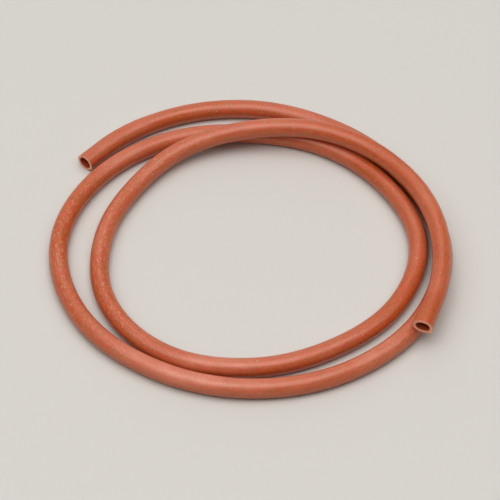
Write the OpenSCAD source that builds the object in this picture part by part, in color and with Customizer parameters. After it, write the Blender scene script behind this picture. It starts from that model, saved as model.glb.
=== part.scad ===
// Rubber gas tubing: one length of plain red rubber tube, laid down on a table in a
// loose coil of about two and a half turns, with both ends cut square and open.
// Seen from above it runs clockwise: from its first end, round the outside of the coil,
// round the inside, and up over the turns already lying there to its second end.

/* [Tube] */
// Diameter of the bore
bore_d = 8; // [5:0.5:12]
// Thickness of the rubber wall
wall = 1.5; // [1:0.25:3]

/* [Coil] */
// Mean diameter of the coil, between its inner and outer turns
coil_d = 200; // [170:10:300]
// Gap left between turns that lie on each other
turn_gap = 0.3; // [0.2:0.1:1]

/* [Ends] */
// Straight, truly round stretch at each cut end, where a fitting is pushed in
end_length = 15; // [10:1:25]

/* [Hidden] */

tube_d = bore_d + 2 * wall;
pitch = tube_d + turn_gap;  // from one turn's centreline to the next one's, where they touch

// The way the tube lies, one point for each route_step, as [out, up]. Both are in pitches:
// out from the coil's mean circle, and up from lying on the table.
route_step = 30;    // degrees, clockwise
route_angle = 150;  // where the first point stands, anticlockwise from +X
route = [
    // over the top and down the right, as the outermost turn
    [1.45, 0], [1, 0], [0.6, 0], [0.25, 0], [0.4, 0], [0.9, 0],
    // along the bottom and up the left
    [0.95, 0], [0.7, 0], [0.5, 0], [0.55, 0], [0.85, 0], [0.85, 0],
    // in below the first end, then round the inside of the coil
    [0.2, 0], [-0.6, 0], [-1.25, 0], [-1.15, 0], [-0.85, 0], [-0.35, 0],
    [-0.5, 0], [-0.85, 0], [-0.75, 0], [-0.5, 0], [-0.7, 0], [-1.35, 0],
    // up over both turns that lie there, and out to the second end
    [-1.8, 0.05], [-1.8, 0.4], [-1.8, 0.9], [-1.05, 1],
    [-0.15, 0.9], [0.6, 1], [1.35, 1]
];
last = len(route) - 1;
curve_start = 0.35;  // places along the route, in steps, where the curve begins and ends
curve_end = 29.97;

sides = 12;         // of the swept tube's section
ring_count = 74;    // sections along the curve, about two diameters apart
lap = 1;            // straight length of the swept tube before, and inside, each straight end
skin = 0.02;        // how deep its surfaces lie inside the straight end's wall
small_step = 0.01;  // of the route, for working out headings

swept_r = tube_d / 2 - skin;
swept_bore_r = (bore_d / 2 + skin) / cos(180 / sides);

function unit(v) = v / norm(v);

// Catmull-Rom curve from b to c
function smooth(a, b, c, d, u) =
    b + (c - a) * u / 2
    + (2 * a - 5 * b + 4 * c - d) * u * u / 2
    + (3 * b - a - 3 * c + d) * u * u * u / 2;

function route_point(i) =
    i < 0 ? 2 * route[0] - route[1]
    : i > last ? 2 * route[last] - route[last - 1]
    : route[i];

function route_at(t) =
    let (i = min(floor(t), last - 1))
    smooth(route_point(i - 1), route_point(i), route_point(i + 1), route_point(i + 2), t - i);

// Centre of the tube at place t along the route, about the coil's own centre
function coil_at(t) =
    let (
        place = route_at(t),
        angle = route_angle - route_step * t,
        radius = coil_d / 2 + place[0] * pitch,
        height = tube_d / 2 + max(place[1], 0) * pitch
    )
    [radius * cos(angle), radius * sin(angle), height];

function heading_at(t) = unit(coil_at(t + small_step) - coil_at(t - small_step));

places = [
    for (i = [0 : ring_count - 1])
        curve_start + (curve_end - curve_start) * i / (ring_count - 1)
];

// The two ends, as [where the curve stops, heading from there out to the mouth]
first_end = [coil_at(curve_start), -heading_at(curve_start)];
second_end = [coil_at(curve_end), heading_at(curve_end)];

function past_curve(end, distance) = end[0] + end[1] * distance;

// The tube's two mouths, and the middle of its outline seen from above
first_mouth = past_curve(first_end, lap + end_length);
second_mouth = past_curve(second_end, lap + end_length);
outline = concat([first_mouth, second_mouth], [for (t = places) coil_at(t)]);
outline_x = [for (p = outline) p[0]];
outline_y = [for (p = outline) p[1]];
middle = [(min(outline_x) + max(outline_x)) / 2, (min(outline_y) + max(outline_y)) / 2, 0];

// One section of the tube: points round the centre c, square to the heading
function section(c, heading, r) =
    let (across = unit(cross(heading, [0, 0, 1])), upward = cross(across, heading))
    [for (k = [0 : sides - 1])
        let (a = 360 * k / sides)
        c + r * (cos(a) * across + sin(a) * upward)];

// The sections' centres and headings from one straight end to the other
stations = concat(
    [[past_curve(first_end, 2 * lap), -first_end[1]]],
    [for (t = places) [coil_at(t), heading_at(t)]],
    [[past_curve(second_end, 2 * lap), second_end[1]]]
);

// A quadrilateral between points k and k + 1 of two sections that start at p and q
function panel(p, q, k) =
    let (n = (k + 1) % sides)
    [[p + k, p + n, q + k], [p + n, q + n, q + k]];

function flipped(faces) = [for (f = faces) [f[0], f[2], f[1]]];

// The bent length of the tube: outer skin, bore and two ring-shaped ends in one closed solid
module swept_tube() {
    count = len(stations);
    bore_start = count * sides;
    last_ring = (count - 1) * sides;
    points = concat(
        [for (s = stations) each section(s[0], s[1], swept_r)],
        [for (s = stations) each section(s[0], s[1], swept_bore_r)]
    );
    skin_faces = [
        for (i = [0 : count - 2], k = [0 : sides - 1]) each panel(i * sides, (i + 1) * sides, k)
    ];
    bore_faces = flipped([
        for (i = [0 : count - 2], k = [0 : sides - 1])
            each panel(bore_start + i * sides, bore_start + (i + 1) * sides, k)
    ]);
    first_face = flipped([for (k = [0 : sides - 1]) each panel(0, bore_start, k)]);
    last_face = [for (k = [0 : sides - 1]) each panel(last_ring, bore_start + last_ring, k)];
    polyhedron(points, concat(skin_faces, bore_faces, first_face, last_face));
}

// A straight end with its round bore, out to the mouth
module straight_end(end) {
    heading = end[1];
    translate(past_curve(end, lap))
        rotate([0, acos(heading[2]), atan2(heading[1], heading[0])])
            difference() {
                cylinder(h = end_length, d = tube_d, $fn = 64);
                translate([0, 0, -end_length / 2])
                    cylinder(h = 2 * end_length, d = bore_d, $fn = 64);
            }
}

module tubing() {
    color([0.77, 0.42, 0.31])
        translate(-middle) {
            swept_tube();
            straight_end(first_end);
            straight_end(second_end);
        }
}

tubing();
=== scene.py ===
"""Looks for a length of red rubber gas tubing, lying in a loose coil on a pale table.

All lengths are in metres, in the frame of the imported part.
"""

import math

import bpy
import numpy as np
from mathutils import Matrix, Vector


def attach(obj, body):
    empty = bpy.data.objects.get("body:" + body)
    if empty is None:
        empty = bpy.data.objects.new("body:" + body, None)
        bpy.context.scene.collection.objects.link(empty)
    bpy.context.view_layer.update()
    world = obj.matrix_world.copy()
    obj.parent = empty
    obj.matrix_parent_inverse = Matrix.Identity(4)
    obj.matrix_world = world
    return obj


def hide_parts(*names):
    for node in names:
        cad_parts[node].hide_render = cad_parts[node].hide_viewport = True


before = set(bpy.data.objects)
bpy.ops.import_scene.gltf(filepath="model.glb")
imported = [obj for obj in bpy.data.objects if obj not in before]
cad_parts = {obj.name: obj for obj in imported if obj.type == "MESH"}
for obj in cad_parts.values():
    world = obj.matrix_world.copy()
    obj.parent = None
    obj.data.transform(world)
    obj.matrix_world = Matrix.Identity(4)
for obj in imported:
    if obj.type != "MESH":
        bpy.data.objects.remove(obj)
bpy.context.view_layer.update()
MM = 0.001

# ---------------------------------------------------------------- camera

ELEVATION = math.radians(49)
DISTANCE = 1200 * MM
AIM = Vector((-0.39, -9.48, 8.22)) * MM
FOCAL, SENSOR = 151.6, 36  # in millimetres
NEAREST, FARTHEST = 0.05, 60  # that it sees


def make_camera():
    """The camera, which looks down on the coil from the front, along +Y."""
    data = bpy.data.cameras.new("camera")
    data.lens, data.sensor_width = FOCAL, SENSOR
    data.clip_start, data.clip_end = NEAREST, FARTHEST
    camera = bpy.data.objects.new("camera", data)
    bpy.context.scene.collection.objects.link(camera)
    back = Vector((0, -math.cos(ELEVATION), math.sin(ELEVATION)))
    camera.location = AIM + DISTANCE * back
    camera.rotation_mode = "QUATERNION"
    camera.rotation_quaternion = (-back).to_track_quat("-Z", "Y")
    bpy.context.scene.camera = camera


# ---------------------------------------------------------------- the way the tube lies

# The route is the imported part's own: a point for each step, in pitches out from the coil's mean
# circle and up from lying on the table
TUBE_D, BORE_D, COIL_D = 11 * MM, 8 * MM, 200 * MM
PITCH = TUBE_D + 0.3 * MM        # between the centrelines of turns that touch
STRAIGHT = 16 * MM               # length beyond the curve at each end
ROUTE_STEP = math.radians(30)    # clockwise
ROUTE_ANGLE = math.radians(150)  # of the first point
CURVE_START, CURVE_END = 0.35, 29.97  # places along the route, in steps
ROUTE = np.array([
    (1.45, 0), (1, 0), (0.6, 0), (0.25, 0), (0.4, 0), (0.9, 0),
    (0.95, 0), (0.7, 0), (0.5, 0), (0.55, 0), (0.85, 0), (0.85, 0),
    (0.2, 0), (-0.6, 0), (-1.25, 0), (-1.15, 0), (-0.85, 0), (-0.35, 0),
    (-0.5, 0), (-0.85, 0), (-0.75, 0), (-0.5, 0), (-0.7, 0), (-1.35, 0),
    (-1.8, 0.05), (-1.8, 0.4), (-1.8, 0.9), (-1.05, 1),
    (-0.15, 0.9), (0.6, 1), (1.35, 1),
])
CAD_RINGS = 74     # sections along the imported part's curve, from which it finds its middle
SMALL_STEP = 0.01  # of the route, for working out headings
LINE_POINTS = 6001
PATH_POINTS = 400  # of the centreline, worked out at the end

# Where the tube departs a little from the route and from its size. A spot is its distance from the
# first mouth and its half length, in millimetres, and how much the tube departs there.
NUDGES = [(238, 45, -1.2), (1390, 30, 0.4)]  # outward, in millimetres
WIDER = [(30, 20, 0.06)]                     # across, as a share, and half of it in height


def bumps(s, spots):
    """The sum at distances s of smooth, flat-topped bumps."""
    return sum(high * np.exp(-((s / MM - place) / reach) ** 4) for place, reach, high in spots)


def coil_at(t):
    """The tube's centre at places t along the route, about the coil's own centre."""
    known = np.vstack([2 * ROUTE[0] - ROUTE[1], ROUTE, 2 * ROUTE[-1] - ROUTE[-2]])
    i = np.clip(np.floor(t).astype(int), 0, len(ROUTE) - 2)
    a, b, c, d = (known[i + k] for k in range(4))
    u = (t - i)[:, None]
    place = (b + (c - a) * u / 2 + (2 * a - 5 * b + 4 * c - d) * u ** 2 / 2
             + (3 * b - a - 3 * c + d) * u ** 3 / 2)
    angle = ROUTE_ANGLE - ROUTE_STEP * t
    radius = COIL_D / 2 + place[:, 0] * PITCH
    height = TUBE_D / 2 + np.maximum(place[:, 1], 0) * PITCH
    return np.stack([radius * np.cos(angle), radius * np.sin(angle), height], 1)


def heading_at(t):
    """The tube's direction at places t along the route."""
    ahead = coil_at(t + SMALL_STEP) - coil_at(t - SMALL_STEP)
    return ahead / np.linalg.norm(ahead, axis=1)[:, None]


class Line:
    """The tube's centreline from mouth to mouth, by distance from the first mouth."""

    def __init__(self):
        ends = np.array([CURVE_START, CURVE_END])
        self.ends, self.out = coil_at(ends), heading_at(ends) * [[-1], [1]]
        mouths = self.ends + self.out * STRAIGHT
        seen = np.vstack([mouths, coil_at(np.linspace(*ends, CAD_RINGS))])[:, :2]
        self.middle = np.append((seen.min(0) + seen.max(0)) / 2, 0)
        self.t = np.linspace(*ends, LINE_POINTS)
        steps = np.linalg.norm(np.diff(coil_at(self.t), axis=0), axis=1)
        self.s = STRAIGHT + np.append(0, np.cumsum(steps))
        self.length = self.s[-1] + STRAIGHT

    def at(self, s):
        """Centres and headings at distances s."""
        t = np.interp(s, self.s, self.t)
        centre, heading = coil_at(t), heading_at(t)
        for end, beyond in ((0, self.s[0] - s), (1, s - self.s[-1])):
            past = beyond > 0
            centre[past] = self.ends[end] + beyond[past, None] * self.out[end]
            heading[past] = self.out[end] * (1 if end else -1)
        outward = np.cross([0, 0, 1.0], heading)
        outward /= np.linalg.norm(outward, axis=1)[:, None]
        return centre - self.middle + bumps(s, NUDGES)[:, None] * MM * outward, heading


# ---------------------------------------------------------------- the tube

SIDES = 48
RING_GAP, BORE_RING_GAP = 2.2 * MM, 5 * MM  # between the mesh's rings, outside and in the bore
BODY_START = 9 * MM  # where these even rings begin, behind each mouth
MOUTH_RINGS = np.array([0.3, 0.6, 1, 1.7, 2.6, 3.8, 5.3, 7]) * MM  # where the closer ones stand
EDGE = 0.14 * MM     # rounding of the cut edges
CORNER = np.radians([0, 30, 60, 90])  # points round each of these edges
FACE_SHARES = (0.2, 0.4, 0.6, 0.8)    # rings across the cut face, from its outer edge
LOWEST = 0.02 * MM   # of the rubber above the table
FLATTENED, SWOLLEN = 0.008, 0.004     # unevenness of the section: of its shape and of its size

# How each mouth differs from a straight round one, the first mouth's value and then the second's.
# Pairs are [across, upward].
CUT_SLOPE = np.array([[-0.1, 0.0], [0.02, 0.06]])               # slant of the cut
WALL_GROWTH = np.array([[0.0, -0.02], [0.035, -0.045]])         # of the outer wall's size
BORE_GROWTH = np.array([[-0.04, -0.05], [0.03, -0.17]])         # of the bore's size
BORE_SHIFT = np.array([[-0.08, -0.16], [0.0, -0.04]]) * MM      # of the bore in the wall
MOUTH_SHIFT = np.array([[1.1, 0.0], [0.2, -0.1]]) * MM          # of the whole section
CUT_SHIFT = np.array([0.5, 1.0]) * MM                           # of the cut, along the tube
LIP = np.array([0.1, 0.9]) * MM                                 # height of a lip that the blade left
LIP_FLARE = np.array([0.0, 0.7]) * MM                           # how far it stands out sideways
LIP_ANGLE = np.radians([250, 212])
LIP_WIDTH = math.radians(22)
LIP_LOSS = 0.7                                                  # how much less lip there is at the bore
CUT_REACH, SHAPE_REACH, SHIFT_REACH = 9 * MM, 24 * MM, 45 * MM  # how far back they are felt


def wander(x, seed, waves=5):
    """A smooth random curve with values of about -1 to 1, for x of about 0 to 1."""
    rng = np.random.default_rng(seed)
    total = 0
    for k in range(1, waves + 1):
        total = total + rng.normal() / k ** 0.5 * np.sin(2 * math.pi * (k * x + rng.random()))
    return total / waves ** 0.5


def tube_rows(length):
    """Each row of the mesh as (distance from the first mouth, radius, is cut, is bore)."""
    outer, inner = TUBE_D / 2, BORE_D / 2

    def wall(gap):
        count = int(round((length - 2 * BODY_START) / gap))
        body = np.linspace(BODY_START, length - BODY_START, count)
        return np.concatenate([MOUTH_RINGS, body, length - MOUTH_RINGS[::-1]])

    # from the outer wall over the cut face into the bore, as (depth below the face, radius, cut)
    rim = []
    for a in CORNER:
        rim.append((EDGE * (1 - math.sin(a)), outer - EDGE * (1 - math.cos(a)), math.sin(a)))
    for share in FACE_SHARES:
        rim.append((0, outer - EDGE + (inner + 2 * EDGE - outer) * share, 1))
    for a in CORNER[::-1]:
        rim.append((EDGE * (1 - math.sin(a)), inner + EDGE * (1 - math.cos(a)), math.sin(a)))

    rows = []
    for s in wall(RING_GAP):
        rows.append((s, outer, 0, 0))
    for depth, r, cut in rim:
        rows.append((length - depth, r, cut, 0))
    for s in wall(BORE_RING_GAP)[::-1]:
        rows.append((s, inner, 0, 1))
    for depth, r, cut in rim[::-1]:
        rows.append((depth, r, cut, 0))
    return np.array(rows)


def tube_points(line, rows):
    """The mesh's points, and where each would lie on the straight tube: [row, side, xyz]."""
    s, r, _, _ = rows.T
    angle = 2 * math.pi * np.arange(SIDES) / SIDES
    round_ = np.stack([np.cos(angle), np.sin(angle)], 1)
    end = (s > line.length / 2).astype(int)
    back = np.minimum(s, line.length - s)
    inward = np.clip((TUBE_D / 2 - r) / (TUBE_D - BORE_D) * 2, 0, 1)[:, None, None]

    # the section: a slightly uneven round, with each mouth's own shape near it
    near = (np.clip(1 - back / SHAPE_REACH, 0, 1) ** 2)[:, None, None]
    growth = WALL_GROWTH[end][:, None] * (1 - inward) + BORE_GROWTH[end][:, None] * inward
    place = s / line.length
    flat = FLATTENED * wander(place * 7, 4)[:, None] * [1, -1]
    swell = SWOLLEN * wander(place * 9, 3)[:, None, None]
    swell = swell + bumps(s, WIDER)[:, None, None] * [1, 0.5]
    far = 1 - near
    section = r[:, None, None] * round_ * (1 + near * growth + far * (flat[:, None] + swell))
    section = section + near * inward * BORE_SHIFT[end][:, None]

    # the cut: each point moves along the tube, and at the lip also outward
    near_cut = (np.clip(1 - back / CUT_REACH, 0, 1) ** 2)[:, None]
    slant = (section * CUT_SLOPE[end][:, None]).sum(2)
    turned = np.angle(np.exp(1j * (angle - LIP_ANGLE[end][:, None])))
    lip = near_cut ** 3 * np.exp(-(turned / LIP_WIDTH) ** 2) * (1 - LIP_LOSS * inward[:, :, 0])
    along = np.where(end, 1, -1)[:, None] * (
        near_cut * (slant + CUT_SHIFT[end][:, None]) + LIP[end][:, None] * lip)
    section = section + (LIP_FLARE[end][:, None] * lip)[:, :, None] * round_
    section = section + (np.clip(1 - back / SHIFT_REACH, 0, 1) ** 2)[:, None, None] * (
        MOUTH_SHIFT[end][:, None])

    centre, heading = line.at(s)
    across = np.cross(heading, [0, 0, 1.0])
    across /= np.linalg.norm(across, axis=1)[:, None]
    upward = np.cross(across, heading)
    points = (centre[:, None] + along[:, :, None] * heading[:, None]
              + section[:, :, :1] * across[:, None] + section[:, :, 1:] * upward[:, None])
    points[:, :, 2] = np.maximum(points[:, :, 2], LOWEST)
    straight = np.concatenate([section, (s[:, None] + along)[:, :, None]], 2)
    return points, straight


# The texture map: the wall and the bore in strips one above the other, then the cut faces
STRIPS = 5
STRIP_GAP = 1.5 * MM
DISC_SCALE = 0.98  # of the cut faces, so that they clear what lies beside them


def tube_map(straight, rows, length):
    """A place in the map for each corner of each face of the mesh: [row, side, corner, uv]."""
    s, _, _, bore = rows.T
    count = len(rows)
    after = (np.arange(count) + 1) % count
    strip_length = length / STRIPS
    tall, low = math.pi * TUBE_D, math.pi * BORE_D
    step = tall + low + 2 * STRIP_GAP
    size = STRIPS * step + TUBE_D + 3 * STRIP_GAP

    middle = (s + s[after]) / 2
    strip = np.clip(np.floor(middle / strip_length), 0, STRIPS - 1)
    turns = np.arange(SIDES + 1) / SIDES
    is_bore = np.maximum(bore, bore[after]) > 0
    base = strip * step + STRIP_GAP + np.where(is_bore, tall + STRIP_GAP, 0)
    v = base[:, None] + turns * np.where(is_bore, low, tall)[:, None]
    u0 = s - strip * strip_length + 2 * STRIP_GAP
    u1 = s[after] - strip * strip_length + 2 * STRIP_GAP
    u0, u1 = (np.repeat(u[:, None], SIDES, 1) for u in (u0, u1))
    low_v, high_v = v[:, :-1], v[:, 1:]
    places = np.stack([np.stack([u0, low_v], 2), np.stack([u1, low_v], 2),
                       np.stack([u1, high_v], 2), np.stack([u0, high_v], 2)], 2)

    # the cut faces and their edges, as two discs side by side above the strips
    is_cut = ~is_bore & (np.minimum(middle, length - middle) < EDGE * 0.99)
    disc = straight[:, :, :2] * DISC_SCALE
    disc = disc + np.where(s > length / 2, 3, 1)[:, None, None] * [TUBE_D * 0.75, 0]
    disc[:, :, 1] += size - TUBE_D / 2 - STRIP_GAP
    beside = (np.arange(SIDES) + 1) % SIDES
    discs = np.stack([disc, disc[after], disc[after][:, beside], disc[:, beside]], 2)
    places[is_cut] = discs[is_cut]
    return places / size


def make_tube(line):
    """The whole tube: one closed skin, outside, over a cut face, back through the bore."""
    rows = tube_rows(line.length)
    points, straight = tube_points(line, rows)
    count = len(rows)
    row, side = np.meshgrid(np.arange(count), np.arange(SIDES), indexing="ij")
    after, beside = (row + 1) % count, (side + 1) % SIDES
    corners = np.stack([row * SIDES + side, after * SIDES + side,
                        after * SIDES + beside, row * SIDES + beside], -1).reshape(-1, 4)
    mesh = bpy.data.meshes.new("gas_tube")
    mesh.from_pydata(points.reshape(-1, 3).tolist(), [], corners.tolist())
    mesh.polygons.foreach_set("use_smooth", np.ones(len(corners), bool))

    mesh.attributes.new("straight", "FLOAT_VECTOR", "POINT").data.foreach_set(
        "vector", straight.ravel())
    distance = rows[:, 0]
    for name, value in (("cut", rows[:, 2]), ("bore", rows[:, 3]),
                        ("bloom_and_highlight", spread(distance, BLOOM_AND_HIGHLIGHT_GROUND, BLOOM_AND_HIGHLIGHT_SPOTS)),
                        ("dust", spread(distance, DUST_GROUND, DUST_SPOTS))):
        mesh.attributes.new(name, "FLOAT", "POINT").data.foreach_set(
            "value", np.repeat(value, SIDES))
    mesh.uv_layers.new(name="OFBake").uv.foreach_set(
        "vector", tube_map(straight, rows, line.length).ravel())
    mesh.update()
    tube = bpy.data.objects.new("gas_tube", mesh)
    bpy.context.scene.collection.objects.link(tube)
    return tube


# ---------------------------------------------------------------- materials

# How much pale bloom there is, partly real bloom and partly a painted highlight on the upper side, how
# much of it is rubbed into specks, and the spots where there is more or less: distance from the first
# mouth and half length, in millimetres, and how much more
BLOOM_AND_HIGHLIGHT_GROUND, DUST_GROUND = 0.4, 0.2
BLOOM_AND_HIGHLIGHT_SPOTS = [(80, 35, -0.22), (375, 14, 0.45), (482, 44, 0.9), (635, 32, -0.4), (690, 18, 0.2),
               (853, 12, -0.4), (968, 32, -0.38), (1080, 22, 0.7), (1165, 25, -0.25),
               (1203, 10, 0.25), (1312, 34, 0.22), (1396, 28, -0.42), (1480, 28, 0.2),
               (1546, 14, -0.4)]
DUST_SPOTS = [(128, 25, 0.2), (362, 40, 0.3), (600, 75, 0.8), (1197, 75, 0.8), (1285, 28, 0.35)]
MOST = 1.3


def spread(s, ground, spots):
    """How much bloom, or how many specks, there are at distances s."""
    return np.clip(ground + bumps(s, spots), 0, MOST)


def linear(*rgb):
    """A colour given as 0-255 screen values, as the shaders take it."""
    return [((c / 255 + 0.055) / 1.055) ** 2.4 if c > 10 else c / 255 / 12.92 for c in rgb] + [1]


RED, TAN, BROWN = linear(202, 81, 46), linear(187, 92, 32), linear(180, 72, 33)
# painted shade on the tube's sides
PAINTED_SIDE_SHADE = linear(241, 251, 250)
# a pale film: partly real bloom, partly a painted highlight on the upper side
FILM_AND_HIGHLIGHT, POWDER = linear(246, 164, 142), linear(244, 180, 152)
CHALK, PIT = linear(240, 206, 186), linear(120, 44, 26)
# painted shade inside the bore
PAINTED_BORE_SHADE = linear(178, 78, 44)
FRESH, FRESH_PALE = linear(239, 158, 125), linear(249, 181, 148)
GLOSS_TINT = linear(243, 214, 202)
TABLE = linear(220, 216, 210)

# The most that each of these covers of what lies under it
FILM_AND_HIGHLIGHT_SHARE, POWDER_SHARE, CHALK_SHARE, PIT_SHARE, BORE_SHADE_SHARE = 0.26, 0.45, 0.8, 0.5, 0.85


class Nodes:
    """Short ways to build a material's nodes. Values may be numbers or other nodes' outputs."""

    def __init__(self, name):
        self.material = bpy.data.materials.new(name)
        self.material.use_nodes = True
        self.tree = self.material.node_tree
        self.shader = self.tree.nodes["Principled BSDF"]

    def put(self, socket, value):
        """Set an input, or link it."""
        if isinstance(value, bpy.types.NodeSocket):
            self.tree.links.new(value, socket)
        else:
            socket.default_value = value

    def add(self, kind, **inputs):
        """A new node of that kind, with its inputs set by name."""
        node = self.tree.nodes.new("ShaderNode" + kind)
        for name, value in inputs.items():
            self.put(node.inputs[name.replace("_", " ")], value)
        return node

    def attribute(self, name, output):
        """What the mesh's points hold under that name."""
        node = self.add("Attribute")
        node.attribute_name = name
        return node.outputs[output]

    def sum(self, *terms):
        total = terms[0]
        for term in terms[1:]:
            total = self.math("ADD", total, term)
        return total

    def math(self, operation, a, b):
        node = self.add("Math")
        node.operation = operation
        self.put(node.inputs[0], a)
        self.put(node.inputs[1], b)
        return node.outputs[0]

    def times(self, a, b):
        return self.math("MULTIPLY", a, b)

    def ease(self, value, low, high, to=(0.0, 1.0)):
        """From to[0] where value is low or less, smoothly to to[1] where it is high or more."""
        node = self.add("MapRange", Value=value)
        node.interpolation_type = "SMOOTHSTEP"
        for name, number in zip(("From Min", "From Max", "To Min", "To Max"), (low, high, *to)):
            node.inputs[name].default_value = number
        return node.outputs[0]

    def scaled(self, place, size, stretch, offset):
        """place in units of size, or of stretch sizes along the tube."""
        node = self.add("Mapping", Vector=place)
        node.inputs["Scale"].default_value = (1 / size, 1 / size, 1 / size / stretch)
        node.inputs["Location"].default_value = (offset, -offset, 1.7 * offset)
        return node.outputs[0]

    def noise(self, place, size, stretch, offset, detail, roughness=0.5):
        """Noise of 0 to 1 with features of that size, stretched along the tube."""
        node = self.add("TexNoise", Vector=self.scaled(place, size, stretch, offset),
                        Scale=1.0, Detail=detail, Roughness=roughness)
        return node.outputs["Fac"]

    def specks(self, place, size, offset, share):
        """Distance from the nearest speck in units of size; only a share of the cells has one."""
        node = self.add("TexVoronoi", Vector=self.scaled(place, size, 1, offset), Scale=1.0)
        chance = self.add("SeparateColor", Color=node.outputs["Color"]).outputs[0]
        none = self.math("GREATER_THAN", chance, share)
        return self.math("ADD", node.outputs["Distance"], none)

    def mix(self, share, a, b, blend="MIX"):
        """Colour a with that share of colour b."""
        node = self.add("Mix")
        node.data_type, node.blend_type = "RGBA", blend
        self.put(node.inputs[0], share)
        self.put(node.inputs[6], a)
        self.put(node.inputs[7], b)
        return node.outputs[2]


def make_rubber():
    """Red rubber: satin, drawn lengthwise, with a pale bloom that is partly a painted highlight on the
    upper side, specks of chalk, worn places, and painted shade on the sides and in the bore.
    """
    n = Nodes("red_rubber")
    place = n.attribute("straight", "Vector")
    cut, bore = n.attribute("cut", "Fac"), n.attribute("bore", "Fac")
    upward = n.add("SeparateXYZ", Vector=place).outputs["Y"]
    above = n.ease(upward, -1 * MM, 5 * MM)

    # the rubber's own colour: redder and browner blotches, and a shade that follows the grain
    tone = n.noise(place, 45 * MM, stretch=2, offset=3, detail=3)
    mottle = n.noise(place, 5 * MM, stretch=2, offset=8, detail=4, roughness=0.6)
    blotch = n.noise(place, 2.4 * MM, stretch=1.3, offset=23, detail=3, roughness=0.6)
    streak = n.noise(place, 0.9 * MM, stretch=22, offset=5, detail=3, roughness=0.6)
    grain = n.noise(place, 0.8 * MM, stretch=1.5, offset=1, detail=3, roughness=0.65)
    colour = n.mix(n.ease(blotch, 0.38, 0.62), RED, TAN)
    colour = n.mix(n.ease(mottle, 0.5, 0.75), colour, BROWN)
    shade = n.sum(0.02, n.times(tone, 0.14), n.times(mottle, 0.44), n.times(streak, 0.44),
                  n.times(grain, 0.94))
    colour = n.mix(1.0, colour, shade, "MULTIPLY")

    # painted shade: the sides are darkened, most in red, against the top
    beside = n.ease(upward, 0.5 * MM, 4 * MM, (1.0, 0.0))
    colour = n.mix(beside, colour, PAINTED_SIDE_SHADE, "MULTIPLY")

    # bloom and painted highlight: a pale film on the upper side, partly real bloom and partly a painted
    # highlight; the bloom is partly rubbed into fine specks
    patches = n.noise(place, 9 * MM, stretch=2, offset=11, detail=4, roughness=0.6)
    uneven = n.ease(patches, 0.3, 0.7, (0.55, 1.45))
    film_and_highlight = n.times(n.times(n.attribute("bloom_and_highlight", "Fac"), uneven), above)
    powder = n.noise(place, 1.3 * MM, stretch=2, offset=14, detail=4, roughness=0.75)
    powder = n.ease(powder, 0.5, 0.68)
    dust = n.times(n.times(n.attribute("dust", "Fac"), powder), n.ease(upward, 1 * MM, 5.2 * MM))
    colour = n.mix(n.times(film_and_highlight, FILM_AND_HIGHLIGHT_SHARE), colour, FILM_AND_HIGHLIGHT)
    colour = n.mix(n.times(dust, POWDER_SHARE), colour, POWDER)

    # specks of chalk, and small dark pits
    chalk = n.ease(n.specks(place, 4 * MM, offset=2, share=0.2), 0.05, 0.09, (1.0, 0.0))
    pit = n.ease(n.specks(place, 3 * MM, offset=6, share=0.2), 0.04, 0.1, (1.0, 0.0))
    colour = n.mix(n.times(chalk, CHALK_SHARE), colour, CHALK)
    colour = n.mix(n.times(pit, PIT_SHARE), colour, PIT)

    # painted shade: the bore is darkened, and the fresh cut is paler
    colour = n.mix(n.times(bore, BORE_SHADE_SHARE), colour, PAINTED_BORE_SHADE)
    fresh = n.mix(n.ease(grain, 0.35, 0.7), FRESH, FRESH_PALE)
    colour = n.mix(cut, colour, fresh)
    n.put(n.shader.inputs["Base Color"], colour)

    # gloss: the rubber's own is uneven, and specks, cuts and the bore are duller
    smear = n.noise(place, 16 * MM, stretch=3, offset=17, detail=3)
    dull = n.sum(0.08, n.times(smear, 0.2), n.times(streak, 0.16), n.times(grain, 0.14),
                 n.times(dust, 0.25), n.times(cut, 0.2), n.times(bore, 0.15))
    n.put(n.shader.inputs["Roughness"], dull)
    n.shader.inputs["Specular IOR Level"].default_value = 1.0
    n.shader.inputs["Specular Tint"].default_value = GLOSS_TINT

    # relief, in metres
    blade = n.noise(place, 0.35 * MM, stretch=1, offset=20, detail=2)
    relief = n.sum(n.times(streak, 14e-6), n.times(grain, 30e-6), n.times(mottle, 30e-6),
                   n.times(dust, 12e-6), n.times(chalk, 30e-6), n.times(pit, -40e-6),
                   n.times(n.times(blade, cut), 40e-6))
    bump = n.add("Bump", Height=relief, Strength=1.0, Distance=1.0)
    n.put(n.shader.inputs["Normal"], bump.outputs[0])
    return n.material


def make_table():
    """A plain, pale, dull surface."""
    n = Nodes("pale_table")
    n.shader.inputs["Base Color"].default_value = TABLE
    n.shader.inputs["Roughness"].default_value = 0.9
    n.shader.inputs["Specular IOR Level"].default_value = 0.1
    return n.material


# ---------------------------------------------------------------- table and light

FLAT, COVE, WALL_TOP = 3.6, 2.0, 2.9  # reach of the flat top, radius of its curve, height
FLAT_RINGS = (0.02, 0.1, 0.3, 0.6, 0.8)  # shares of the flat top
COVE_RINGS, ROOM_SIDES = 12, 72

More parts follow.
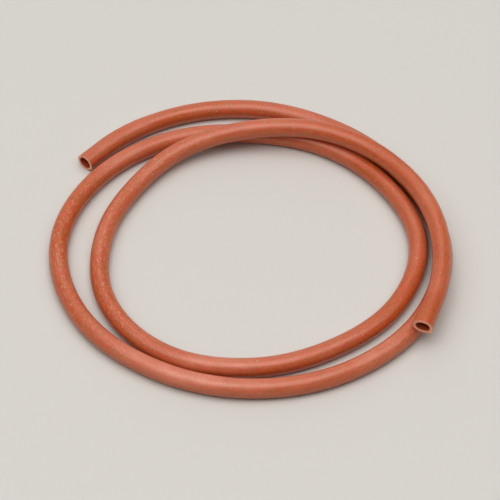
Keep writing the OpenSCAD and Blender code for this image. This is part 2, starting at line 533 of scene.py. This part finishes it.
# Soft lamps under the ceiling and before the back wall, as in a room: name, centre, width and
# length, the point it faces, radiance
CEILING, BACK = 2.7, 3.5
LAMPS = [
    ("key", (0, -0.7, CEILING), (2, 1.4), (0, -0.7, 0), 3.2),
    ("overhead", (0, 0.35, CEILING), (2, 0.7), (0, 0.35, 0), 2.6),
    ("behind", (0, 1.05, CEILING), (2, 0.7), (0, 1.05, 0), 1.35),
    ("far_behind", (0, 2.45, CEILING), (2, 2.1), (0, 2.45, 0), 0.87),
    ("before", (-1, -1.6, CEILING), (4, 0.4), (-1, -1.6, 0), 1.25),
    ("far_before", (-1, -2.65, CEILING), (4, 1.7), (-1, -2.65, 0), 0.62),
    ("left", (-2, -0.7, CEILING), (2, 1.4), (-2, -0.7, 0), 1.75),
    ("far_left", (-2, 1.75, CEILING), (2, 3.5), (-2, 1.75, 0), 0.6),
    ("right", (2, 0, CEILING), (2, 1.4), (2, 0, 0), 1.95),
    ("far_right", (2, 0, CEILING), (2, 2.8), (2, 0, 0), 0.4),
    ("back_wall", (0, BACK, 1.4), (2, 2.6), (0, 0, 1.4), 0.66),
    ("back_wall_left", (-2, BACK, 1.4), (2, 2.6), (-2, 0, 1.4), 0.4),
]


def make_room():
    """The table top, which runs out flat and then curves up into a pale wall all round."""
    profile = [(FLAT * share, 0) for share in FLAT_RINGS]
    for k in range(COVE_RINGS + 1):
        a = math.pi / 2 * k / COVE_RINGS
        profile.append((FLAT + COVE * math.sin(a), COVE * (1 - math.cos(a))))
    profile.append((FLAT + COVE, WALL_TOP))
    points = [(0, 0, 0)]
    for r, z in profile:
        for k in range(ROOM_SIDES):
            a = 2 * math.pi * k / ROOM_SIDES
            points.append((r * math.cos(a), r * math.sin(a), z))
    faces = []
    for k in range(ROOM_SIDES):
        n = (k + 1) % ROOM_SIDES
        faces.append((0, 1 + k, 1 + n))
        for i in range(len(profile) - 1):
            p, q = 1 + i * ROOM_SIDES, 1 + (i + 1) * ROOM_SIDES
            faces.append((p + k, q + k, q + n, p + n))
    mesh = bpy.data.meshes.new("table")
    mesh.from_pydata(points, [], faces)
    mesh.polygons.foreach_set("use_smooth", [True] * len(faces))
    table = bpy.data.objects.new("table", mesh)
    bpy.context.scene.collection.objects.link(table)
    mesh.materials.append(make_table())


def make_lamp(name, place, size, aim, radiance):
    """A soft lamp whose surface has the given radiance, where 1 is white."""
    data = bpy.data.lights.new(name, "AREA")
    data.shape = "RECTANGLE"
    data.size, data.size_y = size
    data.energy = radiance * math.pi * size[0] * size[1]
    lamp = bpy.data.objects.new(name, data)
    lamp.location = place
    lamp.rotation_mode = "QUATERNION"
    lamp.rotation_quaternion = (Vector(aim) - Vector(place)).to_track_quat("-Z", "Y")
    lamp.visible_camera = False
    bpy.context.scene.collection.objects.link(lamp)


make_camera()
line = Line()
tube = make_tube(line)
tube.data.materials.append(make_rubber())
make_room()
for lamp in LAMPS:
    make_lamp(*lamp)
bpy.context.scene.view_settings.view_transform = "Standard"

centres, _ = line.at(np.linspace(0, line.length, PATH_POINTS))
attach(tube, "root")
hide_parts("tubing")
